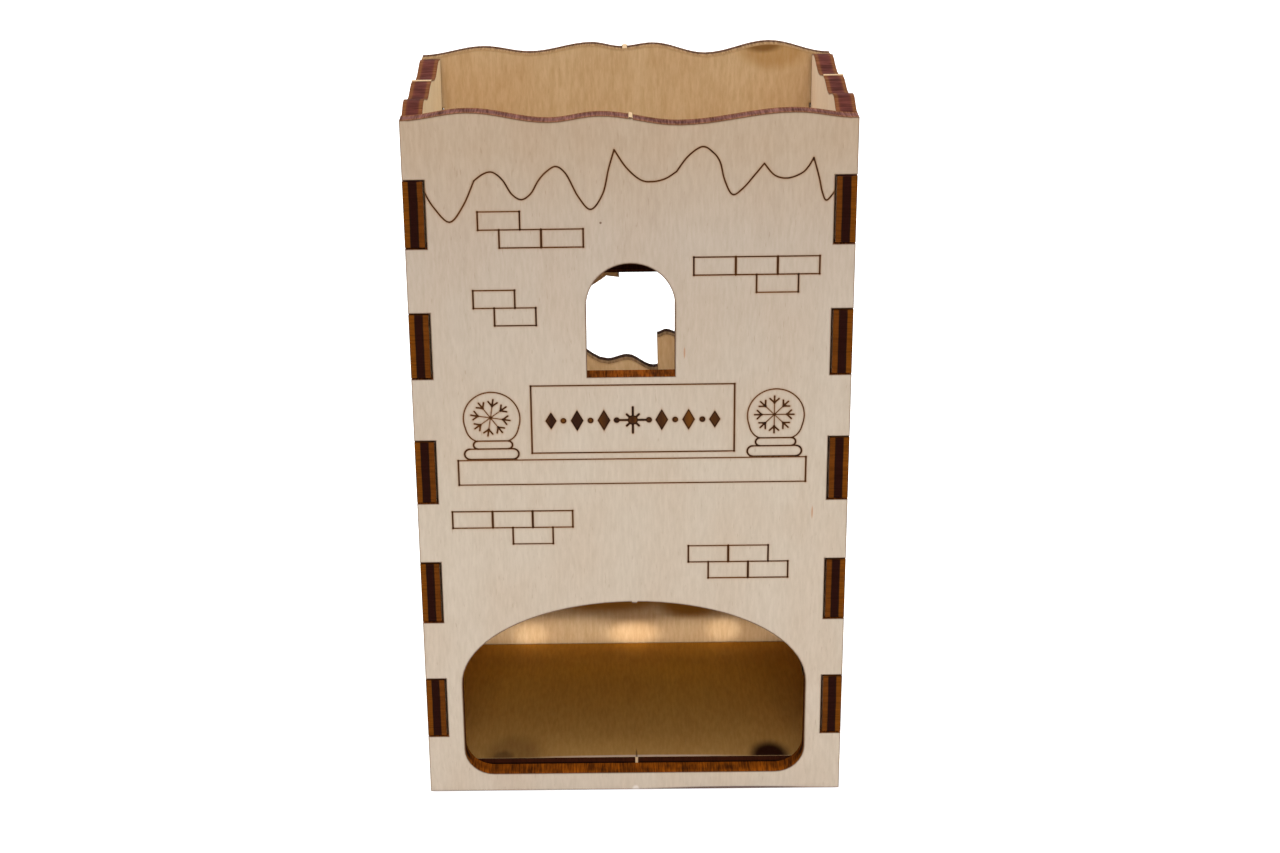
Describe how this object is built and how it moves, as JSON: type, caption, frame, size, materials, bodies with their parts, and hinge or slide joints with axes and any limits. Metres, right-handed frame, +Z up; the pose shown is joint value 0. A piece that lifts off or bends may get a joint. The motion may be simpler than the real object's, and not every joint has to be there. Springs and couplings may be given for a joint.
{
  "type": "dice tower",
  "caption": "Small plywood dice tower: a finger-jointed box with an open wavy top, an arched window, sloping baffles inside and a wide arched exit at the front.",
  "frame": {"origin": "centre of the bounding box's underside, on the surface the tower stands on", "axes": "+Z up along the tower, front panel with the exit towards -Y, +X to the right seen from the front"},
  "size_m": [0.0636, 0.0448, 0.1077],
  "materials": {
    "birch_wall": "bare laser-cut birch plywood, matt, cut edges and engraving burnt dark brown",
    "birch_board": "bare laser-cut birch plywood, matt, cut edges burnt dark brown"
  },
  "bodies": {
    "root": {"front_panel": "birch_wall", "back_panel": "birch_wall", "left_panel": "birch_wall", "right_panel": "birch_wall", "floor_panel": "birch_board", "upper_baffle": "birch_board", "middle_baffle": "birch_board", "lower_baffle": "birch_board"}
  },
  "joints": []
}
